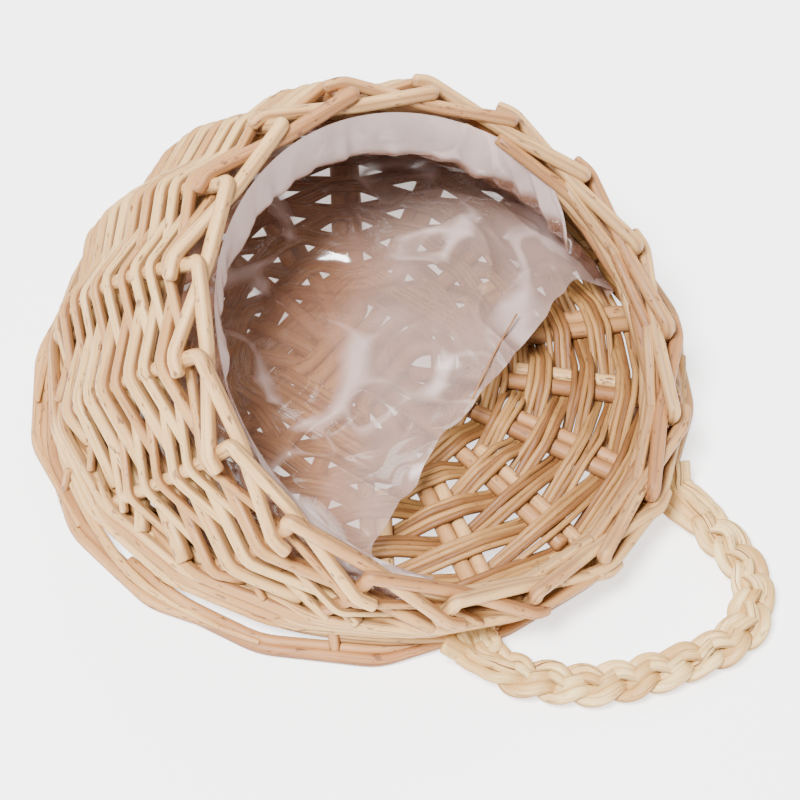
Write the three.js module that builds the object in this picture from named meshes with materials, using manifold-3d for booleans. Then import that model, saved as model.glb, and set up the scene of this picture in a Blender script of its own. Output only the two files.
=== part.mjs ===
// A round willow basket with a hood-like back, a tilted round mouth, a foot border and
// a braided hanging loop.
// Millimetres, +Z up. The hood is towards +Y and the hanging loop lies towards -Y.
import * as THREE from "three";
import { mergeVertices } from "three/addons/utils/BufferGeometryUtils.js";
import Module from "manifold-3d";

const wasm = await Module();
wasm.setup();

// ---- driving dimensions ----
const stakeCount = 18;
const stakeStart = 86; // degrees, the stake nearest the middle of the hood
const stakeRadius = 1.7;
const stakeFloorRadii = [46, 65, 78.5]; // a stake's run on the base, beside its stick
const stakeBend = { radius: 86, height: 5 }; // where it turns up into the wall
const stakeFirstClimb = 2.4;
const stakeLastLevel = 6; // how far below the rim its upright run ends

const wallFootRadius = 88.8; // the wall's circle where it leaves the base
const wallFootHeight = 6.2;
const rimCentre = new THREE.Vector3(-10, -41, 64);
const rimAcross = 69; // half widths of the mouth
const rimUp = 72;
const rimTilt = 32.6; // degrees, the mouth rises towards the hood
const hoodFullness = { foot: 0.12, rim: 0.64 }; // how far the wall's curve runs straight on at each end
const footLean = 2; // degrees outwards where the wall starts
const rimLean = 50; // degrees inwards where the hood meets the mouth

const baseCrown = 4; // the middle of the base stands this much higher than its edge
const baseEdgeHeight = 6;
const baseRadius = 82;
const stickRadius = 2.4;
const stickPitch = 5.6;
const sticksAcross = 5;
const sticksAlong = 4;
const stickSteps = 14;
const bindingReach = 26; // the binding's distance from the middle of the base
const bindingLift = 1.2;

const weaveRounds = 8;
const weaveFirstRadius = 34;
const weavePitch = 6.5;
const weaveWidth = 5.9;
const weaveThickness = 2.2;

const waleRows = 3;
const waleFirst = 9.95; // height of the first row's middle
const walePitch = 3.45;
const waleRadius = 1.5;
const waleClearance = 1;

const hoodBands = 8;
const hoodThickness = 2.6;
const hoodNarrowest = 2.6; // a band ends where the wall leaves it less than this

const borderDepth = 9.4; // the rim border's share of the wall, measured down from the rim
const gap = 0.3;

const footRodRadius = 2.1;
const footOuterRadius = 97.6;
const footInnerRadius = 93.1;
const pegRadius = 1.3;
const pegHeight = 6.6;

const loopDirection = -98.3; // degrees
const loopStart = 92.8; // distance of the braid's two ends from the basket's middle
const loopHeight = 6.2;
const braidTurns = 4;
const braidHalfWidth = 3.4;
const braidHalfDepth = 2.2;
const strandRadius = 1.5;
const rootShare = 0.075; // share of the loop at each end where the strands lie open, side by side
const rootHalfWidth = 4.6;
// The flat end of the braid, held over the foot border.
const tuck = { length: 3.2, width: 12, thickness: 3, clearance: 2.1 };

const linerThickness = 0.6;
const linerInset = 6.6;
const linerRimFrom = 12; // degrees, where the film's side edge leaves the rim
const linerFootFrom = -25; // degrees, where that edge meets the floor
const linerTo = 221;
const linerFold = 12.5; // climb at which the film turns over the floor
const linerBelowRim = 1.5;
const linerEdgeFrom = new THREE.Vector3(58, -33, 19);
const linerEdgeTo = new THREE.Vector3(-55, -49, 19);

// ---- materials ----
const paleWillow = new THREE.MeshStandardMaterial({ color: 0xdcc7a0, roughness: 0.6, metalness: 0 });
const pinkWillow = new THREE.MeshStandardMaterial({ color: 0xc99f7c, roughness: 0.6, metalness: 0 });
const goldWillow = new THREE.MeshStandardMaterial({ color: 0xc9a573, roughness: 0.65, metalness: 0 });
const braidStraw = new THREE.MeshStandardMaterial({ color: 0xe2cfa6, roughness: 0.7, metalness: 0 });
const clearFilm = new THREE.MeshStandardMaterial({
  color: 0xd8cdd0,
  roughness: 0.2,
  metalness: 0,
  transparent: true,
  opacity: 0.35,
});

const basket = new THREE.Group();

function add(name, geometry, material) {
  const mesh = new THREE.Mesh(geometry, material);
  mesh.name = name;
  basket.add(mesh);
}

// ---- the wall's surface ----
const upward = new THREE.Vector3(0, 0, 1);
const radians = THREE.MathUtils.degToRad;

function outward(angle) {
  return new THREE.Vector3(Math.cos(angle), Math.sin(angle), 0);
}

function rimPoint(angle) {
  const tilt = radians(rimTilt);
  const slope = new THREE.Vector3(0, Math.cos(tilt), Math.sin(tilt));
  return rimCentre
    .clone()
    .add(new THREE.Vector3(rimAcross * Math.cos(angle), 0, 0))
    .addScaledVector(slope, rimUp * Math.sin(angle));
}

// One upright of the wall: a cubic curve from the foot circle to the rim.
// The taller the wall is there, the more it leans in over the basket at the rim.
function wallCurve(angle) {
  const foot = outward(angle).multiplyScalar(wallFootRadius).setZ(wallFootHeight);
  const rim = rimPoint(angle);
  const height = rim.distanceTo(foot);
  const inward = rim.clone().sub(foot).setZ(0).normalize();
  const lean = radians(rimLean) * THREE.MathUtils.clamp((height - 20) / 90, 0, 1);
  const leave = upward
    .clone()
    .multiplyScalar(Math.cos(radians(footLean)))
    .addScaledVector(outward(angle), Math.sin(radians(footLean)));
  const arrive = upward.clone().multiplyScalar(Math.cos(lean)).addScaledVector(inward, Math.sin(lean));
  return new THREE.CubicBezierCurve3(
    foot,
    foot.clone().addScaledVector(leave, height * hoodFullness.foot),
    rim.clone().addScaledVector(arrive, -height * hoodFullness.rim),
    rim,
  );
}

function wallLength(angle) {
  return wallCurve(angle).getLength();
}

// A spot on the wall: climb is the distance up from the foot, out the distance off the surface.
function wallSpot(angle, climb, out = 0) {
  const step = 0.01;
  const at = (a) => {
    const curve = wallCurve(a);
    return curve.getPointAt(Math.min(climb / curve.getLength(), 1));
  };
  const here = wallCurve(angle);
  const share = Math.min(climb / here.getLength(), 1);
  const rising = here.getTangentAt(share);
  const along = at(angle + step).sub(at(angle - step));
  const normal = along.cross(rising).normalize();
  return { point: at(angle).addScaledVector(normal, out), normal, rising };
}

// How far up the wall a given height is reached.
function climbTo(angle, height) {
  const curve = wallCurve(angle);
  let low = 0;
  let high = 1;
  for (let i = 0; i < 12; i++) {
    const middle = (low + high) / 2;
    if (curve.getPointAt(middle).z < height) low = middle;
    else high = middle;
  }
  return low * curve.getLength();
}

function rimSpot(angle, level, out = 0) {
  return wallSpot(angle, wallLength(angle) - level, out);
}

function stakeAngle(index) {
  return radians(stakeStart + (360 / stakeCount) * index);
}

// ---- solids ----
// A closed solid over a row of equal loops of points, with an end at each side unless the row closes.
function skin(loops, closed) {
  const around = loops[0].length;
  const faces = [];
  const spans = closed ? loops.length : loops.length - 1;
  for (let i = 0; i < spans; i++) {
    const here = i * around;
    const next = ((i + 1) % loops.length) * around;
    for (let j = 0; j < around; j++) {
      const k = (j + 1) % around;
      faces.push([here + j, here + k, next + k]);
      faces.push([here + j, next + k, next + j]);
    }
  }
  if (!closed) {
    const last = (loops.length - 1) * around;
    for (let low = 0, high = around - 1; high - low > 1; low++, high--) {
      faces.push([high, low + 1, low]);
      faces.push([last + low, last + low + 1, last + high]);
      if (high - low > 2) {
        faces.push([high, high - 1, low + 1]);
        faces.push([last + low + 1, last + high - 1, last + high]);
      }
    }
  }
  const spots = loops.flat();
  const volume = faces.reduce((sum, [a, b, c]) => sum + spots[a].dot(spots[b].clone().cross(spots[c])), 0);
  const indices = volume < 0 ? faces.map(([a, b, c]) => [c, b, a]) : faces;
  return new THREE.BufferGeometry().setFromPoints(spots).setIndex(indices.flat());
}

// A flat band or a rod through a row of spots: each spot has a point, a normal and a rising direction.
function sectionLoop(spot, width, thickness, sides) {
  const loop = [];
  for (let i = 0; i < sides; i++) {
    const turn = ((i + 0.5) / sides) * 2 * Math.PI;
    const reach = sides === 4 ? Math.SQRT2 : 1;
    loop.push(
      spot.point
        .clone()
        .addScaledVector(spot.rising, (Math.cos(turn) * reach * width) / 2)
        .addScaledVector(spot.normal, (Math.sin(turn) * reach * thickness) / 2),
    );
  }
  return loop;
}

function rod(points, radius, steps, sides = 6) {
  const outline = new THREE.Shape();
  for (let i = 0; i < sides; i++) {
    const turn = (i / sides) * 2 * Math.PI;
    const corner = [radius * Math.cos(turn), radius * Math.sin(turn)];
    if (i === 0) outline.moveTo(...corner);
    else outline.lineTo(...corner);
  }
  const extrudePath = new THREE.CatmullRomCurve3(points, false, "centripetal");
  return new THREE.ExtrudeGeometry(outline, { steps, extrudePath, bevelEnabled: false });
}

function solidOf(geometry) {
  const plain = geometry.clone();
  plain.deleteAttribute("normal");
  plain.deleteAttribute("uv");
  const merged = mergeVertices(plain, 1e-4);
  return new wasm.Manifold(
    new wasm.Mesh({
      numProp: 3,
      vertProperties: merged.attributes.position.array,
      triVerts: new Uint32Array(merged.index.array),
    }),
  );
}

function geometryOf(solid) {
  const mesh = solid.getMesh();
  return new THREE.BufferGeometry()
    .setAttribute("position", new THREE.BufferAttribute(mesh.vertProperties, 3))
    .setIndex(new THREE.BufferAttribute(mesh.triVerts, 1));
}

// ---- base ----
function baseHeight(radius) {
  return baseEdgeHeight + baseCrown * (1 - (radius / baseRadius) ** 2);
}

// The stakes lie beside the sticks, so the sticks are turned back by half a pair.
const pairSpread = stickRadius + gap + stakeRadius + 0.2;
const stickTurn = Math.asin(pairSpread / wallFootRadius);

function spokePoint(angle, radius, lift = 0) {
  return outward(angle)
    .multiplyScalar(radius)
    .setZ(baseHeight(radius) + lift);
}

// A stick runs straight through the crossing and fans out to a spoke at each end.
function baseStick(place, count, middleAngle, layer) {
  const offset = place - (count - 1) / 2;
  const spread = radians((360 / stakeCount) * offset);
  const forward = outward(middleAngle);
  const sideways = outward(middleAngle + Math.PI / 2).multiplyScalar(offset * stickPitch);
  const lift = layer * (stickRadius + gap / 2 + 0.1);
  const crossing = (along) =>
    forward
      .clone()
      .multiplyScalar(along)
      .add(sideways)
      .setZ(baseHeight(0) + lift);
  return [
    spokePoint(middleAngle + spread, baseRadius),
    spokePoint(middleAngle + spread, 55),
    spokePoint(middleAngle + spread, 31),
    crossing(13),
    crossing(0),
    crossing(-13),
    spokePoint(middleAngle + Math.PI - spread, 31),
    spokePoint(middleAngle + Math.PI - spread, 55),
    spokePoint(middleAngle + Math.PI - spread, baseRadius),
  ];
}

function buildBaseSticks() {
  const acrossAngle = stakeAngle(-4) - stickTurn;
  const alongAngle = stakeAngle(0.5) - stickTurn;
  for (let i = 0; i < sticksAcross; i++) {
    const stick = baseStick(i, sticksAcross, acrossAngle, 1);
    add(`base_stick_upper_${i + 1}`, rod(stick, stickRadius, stickSteps), pinkWillow);
  }
  for (let i = 0; i < sticksAlong; i++) {
    const stick = baseStick(i, sticksAlong, alongAngle, -1);
    add(`base_stick_lower_${i + 1}`, rod(stick, stickRadius, stickSteps), pinkWillow);
  }
}

// One round of bundled thin rods: flat over one spoke and its stake, then flat under the next.
function buildBaseWeave() {
  const lift = stickRadius + gap + weaveThickness / 2 + 0.1;
  for (let round = 0; round < weaveRounds; round++) {
    const radius = weaveFirstRadius + weavePitch * round;
    const paired = radius > 43;
    const halfFlat = (stickRadius + (paired ? pairSpread / 2 : 0) + 0.3) / radius;
    const middle = paired ? pairSpread / 2 / radius : 0;
    const loops = [];
    for (let i = 0; i < stakeCount; i++) {
      const side = (i + round) % 2 ? -1 : 1;
      for (const edge of [-1, 1]) {
        const angle = stakeAngle(i) - stickTurn + middle + edge * halfFlat;
        const point = spokePoint(angle, radius, side * lift);
        const spot = { point, normal: upward, rising: outward(angle) };
        loops.push(sectionLoop(spot, weaveWidth, weaveThickness, 4));
      }
    }
    add(`base_weave_${round + 1}`, skin(loops, true), goldWillow);
  }
}

// The binding goes over the upper sticks and under the lower ones, close to the crossing.
function buildBaseBinding() {
  const acrossAngle = stakeAngle(-4) - stickTurn;
  const lift = stickRadius + gap + weaveThickness / 2 + bindingLift;
  const loops = [];
  for (let quarter = 0; quarter < 4; quarter++) {
    const side = quarter % 2 ? -1 : 1;
    const halfTurn = quarter % 2 ? 0.63 : 0.8;
    for (const edge of [-1, 0, 1]) {
      const angle = acrossAngle + (quarter * Math.PI) / 2 + edge * halfTurn;
      const point = spokePoint(angle, bindingReach, side * lift);
      const spot = { point, normal: upward, rising: outward(angle) };
      loops.push(sectionLoop(spot, 4, weaveThickness, 4));
    }
  }
  add("base_binding", skin(loops, true), goldWillow);
}

// ---- stakes, wale and hood ----
// A stake lies beside its base stick, climbs the wall, and is laid down inside the next stake
// and outside the one after it as its part of the rim border.
function stakePath(index) {
  const angle = stakeAngle(index);
  const stickAngle = angle - stickTurn;
  const beside = outward(stickAngle + Math.PI / 2).multiplyScalar(pairSpread);
  const onFloor = (radius) => spokePoint(stickAngle, radius).add(beside);
  const length = wallLength(angle);
  const climbs = Math.max(2, Math.round(length / 14));
  const points = stakeFloorRadii.map(onFloor);
  points.push(onFloor(stakeBend.radius).setZ(stakeBend.height));
  for (let i = 0; i <= climbs; i++) {
    const climb = THREE.MathUtils.lerp(stakeFirstClimb, length - stakeLastLevel, i / climbs);
    points.push(wallSpot(angle, climb).point);
  }
  const stakeStep = radians(360 / stakeCount);
  const laid = [
    { along: 0.03, level: 3, out: 0 },
    { along: 0.16, level: 1.8, out: -0.6 },
    { along: 0.5, level: 2.6, out: -2.6 },
    { along: 1, level: 6, out: -3.9 },
    { along: 1.5, level: 5.4, out: 0.4 },
    { along: 1.95, level: 4.4, out: 3.7 },
    { along: 2.15, level: 4.2, out: 4 },
  ];
  for (const spot of laid) {
    points.push(rimSpot(angle + spot.along * stakeStep, spot.level, spot.out).point);
  }
  return points;
}

function buildStakes() {
  for (let i = 0; i < stakeCount; i++) {
    const points = stakePath(i);
    const run = new THREE.CatmullRomCurve3(points).getLength();
    add(`side_stake_${i + 1}`, rod(points, stakeRadius, Math.round(run / 7), 5), pinkWillow);
  }
}

// The wale stands off the stakes sideways only, so its rows stay level where the wall leans.
function waleLoop(angle, height, out) {
  const spot = wallSpot(angle, climbTo(angle, height));
  const level = spot.normal.setZ(0).length();
  const normal = spot.normal.normalize();
  const point = spot.point.addScaledVector(normal, out / level);
  return sectionLoop({ point, normal, rising: upward }, waleRadius * 2, waleRadius * 2, 6);
}

// A wale row passes in front of two stakes and behind the third; the next row starts one stake on.
function buildWale() {
  const offset = stakeRadius + waleClearance + waleRadius;
  for (let row = 0; row < waleRows; row++) {
    const height = waleFirst + walePitch * row;
    const loops = [];
    for (let i = 0; i < stakeCount; i++) {
      const behind = (i + row) % 3 === 0;
      const nextBehind = (i + 1 + row) % 3 === 0;
      loops.push(waleLoop(stakeAngle(i), height, behind ? -offset : offset));
      loops.push(waleLoop(stakeAngle(i + 0.5), height, behind || nextBehind ? 0 : offset));
    }
    add(`wale_row_${row + 1}`, skin(loops, true), paleWillow);
  }
}

// Hood bands share the wall between the wale and the rim border, and end where that gets too narrow.
function buildHood() {
  const offset = stakeRadius + gap + hoodThickness / 2;
  const waleTop = waleFirst + walePitch * (waleRows - 1) + waleRadius + 5 * gap;
  const halfSteps = stakeCount;
  for (let band = 0; band < hoodBands; band++) {
    const loops = [];
    for (let half = -halfSteps; half <= halfSteps; half++) {
      const angle = stakeAngle(half / 2);
      const start = climbTo(angle, waleTop);
      const room = wallLength(angle) - borderDepth - start;
      const width = room / hoodBands - 2 * gap;
      if (width < hoodNarrowest) continue;
      const side = half % 2 ? 0 : (half / 2 + band) % 2 ? -1 : 1;
      const climb = start + (room / hoodBands) * (band + 0.5);
      loops.push(sectionLoop(wallSpot(angle, climb, side * offset), width, hoodThickness, 4));
    }
    add(`hood_weave_${band + 1}`, skin(loops, false), paleWillow);
  }
}

// ---- foot border ----
function footRing(radius) {
  const sides = 8;
  const profile = [];
  for (let i = 0; i <= sides; i++) {
    const turn = ((i + 0.5) / sides) * 2 * Math.PI;
    const reach = footRodRadius / Math.cos(Math.PI / sides);
    profile.push(new THREE.Vector2(radius + reach * Math.cos(turn), footRodRadius + reach * Math.sin(turn)));
  }
  return new THREE.LatheGeometry(profile, stakeCount * 2).rotateX(Math.PI / 2);
}

function buildFoot() {
  add("foot_rod_outer", footRing(footOuterRadius), pinkWillow);
  let inner = solidOf(footRing(footInnerRadius));
  for (let i = 0; i < stakeCount; i++) {
    const height = pegHeight - footRodRadius;
    const peg = new THREE.CylinderGeometry(pegRadius, pegRadius, height, 6).rotateX(Math.PI / 2);
    const spot = outward(stakeAngle(i + 0.5)).multiplyScalar(footInnerRadius);
    peg.translate(spot.x, spot.y, footRodRadius + height / 2);
    inner = inner.add(solidOf(peg));
  }
  add("foot_rod_inner", geometryOf(inner), pinkWillow);
}

// ---- hanging loop ----
// Points of the braid's middle line: sideways along the hinge line, reach away from the basket.
const loopRoute = [
  { side: 37.5, reach: loopStart },
  { side: 38, reach: 101 },
  { side: 37.5, reach: 115 },
  { side: 32.5, reach: 129 },
  { side: 20, reach: 137.5 },
  { side: 4, reach: 135 },
  { side: -12, reach: 128.5 },
  { side: -24.5, reach: 120.5 },
  { side: -35, reach: 108 },
  { side: -39, reach: 96.5 },
  { side: -38.5, reach: loopStart },
];

function buildTucks() {
  for (const [name, spot] of [["loop_tuck_right", loopRoute[0]], ["loop_tuck_left", loopRoute.at(-1)]]) {
    const geometry = new THREE.BoxGeometry(tuck.length, tuck.width, tuck.thickness);
    geometry.translate(loopStart - tuck.clearance - tuck.length / 2, spot.side, loopHeight - 0.1);
    add(name, geometry.rotateZ(radians(loopDirection)), braidStraw);
  }
}

function buildLoop() {
  const out = outward(radians(loopDirection));
  const side = outward(radians(loopDirection + 90));
  const middleLine = new THREE.CatmullRomCurve3(
    loopRoute.map((spot) => {
      const drop = THREE.MathUtils.smoothstep(spot.reach, 94, 116) * 1.6;
      return out
        .clone()
        .multiplyScalar(spot.reach)
        .addScaledVector(side, spot.side)
        .setZ(loopHeight - drop);
    }),
  );
  const steps = 44;
  for (let strand = 0; strand < 3; strand++) {
    const points = [];
    for (let i = 0; i <= steps; i++) {
      const share = i / steps;
      const braided = THREE.MathUtils.clamp((share - rootShare) / (1 - 2 * rootShare), 0, 1);
      const phase = 2 * Math.PI * (braidTurns * braided + strand / 3);
      const open = THREE.MathUtils.clamp(1 - Math.min(share, 1 - share) / rootShare, 0, 1);
      const depth = braidHalfDepth * (1 - open);
      const width = braidHalfWidth + (rootHalfWidth - braidHalfWidth) * open;
      const across = middleLine.getTangentAt(share).cross(upward).normalize();
      points.push(
        middleLine
          .getPointAt(share)
          .addScaledVector(across, width * Math.sin(phase))
          .addScaledVector(upward, depth * Math.sin(2 * phase)),
      );
    }
    add(`loop_strand_${strand + 1}`, rod(points, strandRadius, steps), braidStraw);
  }
}

// ---- liner ----
// The film hangs inside the hood from the rim border and lies over the floor to a straight free edge.
function buildLiner() {
  const columns = 24;
  const wallRows = 8;
  const floorRows = 4;
  const loops = [];
  for (let i = 0; i <= columns; i++) {
    const share = i / columns;
    const faces = [[], []];
    for (const face of [0, 1]) {
      const shift = face * linerThickness;
      for (let row = 0; row <= wallRows; row++) {
        const down = row / wallRows;
        const from = THREE.MathUtils.lerp(linerRimFrom, linerFootFrom, down);
        const angle = radians(THREE.MathUtils.lerp(from, linerTo, share));
        const climb = THREE.MathUtils.lerp(wallLength(angle) - linerBelowRim, linerFold, down);
        faces[face].push(wallSpot(angle, climb, -linerInset - shift).point);
      }
      const foot = faces[face][wallRows];
      foot.z += shift;
      const edge = linerEdgeFrom.clone().lerp(linerEdgeTo, share).setZ(linerEdgeFrom.z + shift);
      for (let row = 1; row <= floorRows; row++) {
        faces[face].push(foot.clone().lerp(edge, row / floorRows));
      }
    }
    loops.push([...faces[0], ...faces[1].reverse()]);
  }
  add("liner_film", skin(loops, false), clearFilm);
}

buildBaseSticks();
buildBaseBinding();
buildBaseWeave();
buildStakes();
buildWale();
buildHood();
buildFoot();
buildTucks();
buildLoop();
buildLiner();

// The origin is the middle of the bounding box's bottom.
basket.updateMatrixWorld(true);
const bounds = new THREE.Box3().setFromObject(basket, true);
const centre = bounds.getCenter(new THREE.Vector3());
basket.position.set(-centre.x, -centre.y, -bounds.min.z);

export default basket;
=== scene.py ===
import math

import bpy
import numpy as np
from mathutils import Matrix, Vector


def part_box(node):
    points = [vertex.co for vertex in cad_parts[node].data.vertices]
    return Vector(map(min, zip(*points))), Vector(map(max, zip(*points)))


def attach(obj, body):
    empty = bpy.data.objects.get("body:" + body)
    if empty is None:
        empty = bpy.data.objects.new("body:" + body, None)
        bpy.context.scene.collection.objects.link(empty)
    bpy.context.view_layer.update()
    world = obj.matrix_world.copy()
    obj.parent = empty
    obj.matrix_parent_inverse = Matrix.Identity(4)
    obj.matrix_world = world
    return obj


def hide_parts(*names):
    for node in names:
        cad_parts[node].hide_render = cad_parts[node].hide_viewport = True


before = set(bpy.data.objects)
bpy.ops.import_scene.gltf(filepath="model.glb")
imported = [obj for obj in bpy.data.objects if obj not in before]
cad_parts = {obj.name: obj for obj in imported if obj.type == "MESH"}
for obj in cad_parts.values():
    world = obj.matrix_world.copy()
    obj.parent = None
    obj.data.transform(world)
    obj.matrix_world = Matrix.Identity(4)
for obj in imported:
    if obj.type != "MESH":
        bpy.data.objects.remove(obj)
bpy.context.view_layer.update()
mm = 0.001
up = np.array([0, 0, 1.0])
rng = np.random.default_rng(41)

# The foot border's outer rod is a true ring, so its middle is the basket's middle.
footLow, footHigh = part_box("foot_rod_outer")
middle = np.array([(footLow.x + footHigh.x) / 2, (footLow.y + footHigh.y) / 2, 0.0])


def nodeNames(stem, count):
    return [f"{stem}_{i + 1}" for i in range(count)]


def placed(name, data):
    obj = bpy.data.objects.new(name, data)
    bpy.context.scene.collection.objects.link(obj)
    return obj


cameraSettings = {
    "azimuth": -48.4,       # degrees, 0 looks along +Y
    "elevation": 52.43,
    "distance": 0.700,
    "target": (-0.01976, -0.03272, 0.040),   # from the basket's middle
    "lens": 113.8,
    "roll": -1.44,          # degrees
}


def makeCamera(s):
    a, e = math.radians(s["azimuth"]), math.radians(s["elevation"])
    back = Vector((math.sin(a) * math.cos(e), -math.cos(a) * math.cos(e), math.sin(e)))
    target = Vector(middle) + Vector(s["target"])
    data = bpy.data.cameras.new("camera")
    data.lens = s["lens"]
    data.sensor_width = 36.0
    camera = placed("camera", data)
    right = Vector((0, 0, 1)).cross(back).normalized()
    top = back.cross(right)
    turn = math.radians(s["roll"])
    newRight = right * math.cos(turn) + top * math.sin(turn)
    newTop = top * math.cos(turn) - right * math.sin(turn)
    axes = Matrix((newRight, newTop, back)).transposed().to_4x4()
    camera.matrix_world = Matrix.Translation(target + back * s["distance"]) @ axes
    bpy.context.scene.camera = camera


makeCamera(cameraSettings)
print("camera placed")


def unit(v):
    return v / (np.linalg.norm(v, axis=-1, keepdims=True) + 1e-12)


def valueNoise(p, seed=0):
    # Value noise: a random number at each whole grid point, blended smoothly between the eight around p.
    cell = np.floor(p).astype(np.int64)
    f = p - cell
    f = f * f * (3 - 2 * f)
    total = np.zeros(p.shape[:-1])
    for corner in range(8):
        bits = np.array([corner & 1, corner >> 1 & 1, corner >> 2 & 1])
        q = cell + bits
        n = q[..., 0] * 374761393 + q[..., 1] * 668265263 + q[..., 2] * 1442695041 + seed * 97531
        n = (n ^ (n >> 13)) * 1274126177
        value = ((n ^ (n >> 16)) & 0xFFFFFF) / 0xFFFFFF
        weight = np.prod(np.where(bits, f, 1 - f), axis=-1)
        total += value * weight
    return total


def lineNoise(x, y=0.0, z=0.0):
    return valueNoise(np.stack([x, y + 0 * x, z + 0 * x], -1))


def throughPoints(points, per):
    # Catmull-Rom curve: a cubic through each point, with half the step between its neighbours as slope.
    p = np.asarray(points, float)
    p = np.vstack([2 * p[0] - p[1], p, 2 * p[-1] - p[-2]])
    t = np.linspace(0, 1, per, endpoint=False)[None, :, None]
    a, b, c, d = (p[i:len(p) - 3 + i, None] for i in range(4))
    run = 0.5 * (2 * b + (c - a) * t + (2 * a - 5 * b + 4 * c - d) * t**2 + (3 * b - a - 3 * c + d) * t**3)
    return np.vstack([run.reshape(-1, p.shape[1]), p[-2]])


def bentLine(corners, reach, closed=False, straight=3, bend=4):
    # Straight runs between corners; each corner is a parabola that starts and ends `reach` away from it.
    c = np.asarray(corners, float)
    before = np.roll(c, 1, 0)
    after = np.roll(c, -1, 0)
    gapIn = np.linalg.norm((c - before)[:, :3], axis=1)
    gapOut = np.linalg.norm((after - c)[:, :3], axis=1)
    r = np.minimum(reach, np.minimum(gapIn, gapOut) * 0.45)[:, None]
    share = r / gapIn[:, None]
    shareOut = r / gapOut[:, None]
    start = c + (before - c) * share
    end = c + (after - c) * shareOut
    if not closed:
        start[0], end[0] = c[0], c[0]
        start[-1], end[-1] = c[-1], c[-1]
    t = np.linspace(0, 1, bend)[None, :, None]
    turn = (1 - t)**2 * start[:, None] + 2 * t * (1 - t) * c[:, None] + t**2 * end[:, None]
    s = (np.arange(1, straight + 1) / (straight + 1))[None, :, None]
    nextStart = np.roll(start, -1, 0)
    run = end[:, None] * (1 - s) + nextStart[:, None] * s
    line = np.concatenate([turn, run], axis=1)
    if closed:
        return line.reshape(-1, c.shape[1])
    first = c[:1]
    body = line[1:-1].reshape(-1, c.shape[1])
    return np.vstack([first, run[0], body, c[-1:]])


rodSettings = {
    "swellLength": 17,      # millimetres from one swelling to the next
    "endLength": 0.3,       # of the rounded end, in half widths
    "endWidth": 0.72,       # of the cut face, against the rod's width
    # The next three paint shade into the colour: darker at a rod's sides, where rods meet, and on its inner
    # face.
    "sidePaintedShade": 0.62,      # how far the painted shade reaches from a rod's sides, as the sine of the angle
    "innerPaintedShade": 0.8,
    "innerEdge": 1.6,       # how sharply the painted shade on the inner face begins
}


# A rod is a dict: centre (n, 3) in millimetres from the basket's middle, facing (n, 3) for its section's
# upper side, wide and thick as half sizes, sides, closed, tone.
def rod(centre, facing, wide, thick=None, sides=10, closed=False, tone=None, taper=(1, 1), lump=0.05):
    n = len(centre)
    wide = np.broadcast_to(np.asarray(wide, float), (n,)).copy()
    thick = wide.copy() if thick is None else np.broadcast_to(np.asarray(thick, float), (n,)).copy()
    along = np.concatenate([[0], np.cumsum(np.linalg.norm(np.diff(centre, axis=0), axis=1))])
    seed = rng.uniform(0, 1000)
    swell = 1 + lump * 2 * (lineNoise(along / rodSettings["swellLength"] + seed) - 0.5)
    fade = np.interp(along / along[-1], [0, 1], taper) if not closed else 1.0
    return {"centre": centre, "facing": np.broadcast_to(facing, (n, 3)), "wide": wide * swell * fade,
            "thick": thick * swell * fade, "sides": sides, "closed": closed, "along": along,
            "tone": rng.uniform(0, 1) if tone is None else tone, "shift": seed}


def rodVertices(r):
    # Section at each step: an oval, cos round the wide axis and sin round the facing axis.
    c, k = r["centre"], r["sides"]
    if r["closed"]:
        tangent = unit(np.roll(c, -1, 0) - np.roll(c, 1, 0))
    else:
        tangent = unit(np.gradient(c, axis=0))
    side = unit(np.cross(tangent, r["facing"]))
    top = np.cross(side, tangent)
    wide, thick, along = r["wide"], r["thick"], r["along"]
    if not r["closed"]:
        # A small extra ring at each end rounds the cut.
        lip = rodSettings["endLength"] * min(wide[0], wide[-1])
        c = np.vstack([c[0] - tangent[0] * lip, c, c[-1] + tangent[-1] * lip])
        side = np.vstack([side[:1], side, side[-1:]])
        top = np.vstack([top[:1], top, top[-1:]])
        cut = rodSettings["endWidth"]
        wide = np.concatenate([[wide[0] * cut], wide, [wide[-1] * cut]])
        thick = np.concatenate([[thick[0] * cut], thick, [thick[-1] * cut]])
        along = np.concatenate([[along[0] - lip], along, [along[-1] + lip]])
    phi = np.linspace(0, 2 * np.pi, k, endpoint=False)
    cosine, sine = np.cos(phi)[None, :, None], np.sin(phi)[None, :, None]
    acrossPart = side[:, None] * cosine * wide[:, None, None]
    topPart = top[:, None] * sine * thick[:, None, None]
    v = c[:, None] + acrossPart + topPart
    space = np.empty_like(v)
    space[..., 0] = np.cos(phi)[None] * 2 + r["shift"] * 3
    space[..., 1] = np.sin(phi)[None] * 2 + r["shift"]
    space[..., 2] = along[:, None] + r["shift"] * 7
    # Painted shade: the colour darkens at the sides, where rods meet, and on the inner face.
    sideShade = np.clip(1 - np.abs(np.sin(phi)) / rodSettings["sidePaintedShade"], 0, 1)
    innerShade = rodSettings["innerPaintedShade"] * np.clip(-np.sin(phi) * rodSettings["innerEdge"], 0, 1)
    shade = np.broadcast_to(np.maximum(sideShade, innerShade)[None], v.shape[:2])
    return v.reshape(-1, 3), space.reshape(-1, 3), shade.reshape(-1), len(c)


def rodFaces(n, k, closed, start):
    i = np.arange(n if closed else n - 1)[:, None]
    j = np.arange(k)[None]
    here, nxt = i * k, ((i + 1) % n) * k
    quads = np.stack([here + j, nxt + j, nxt + (j + 1) % k, here + (j + 1) % k], -1).reshape(-1, 4)
    if not closed:
        a = np.arange(k // 2 - 1)
        b = k - 1 - a
        cap = np.stack([a, a + 1, b - 1, b], -1)
        quads = np.vstack([quads, cap, cap[:, ::-1] + (n - 1) * k])
    return quads + start


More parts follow.
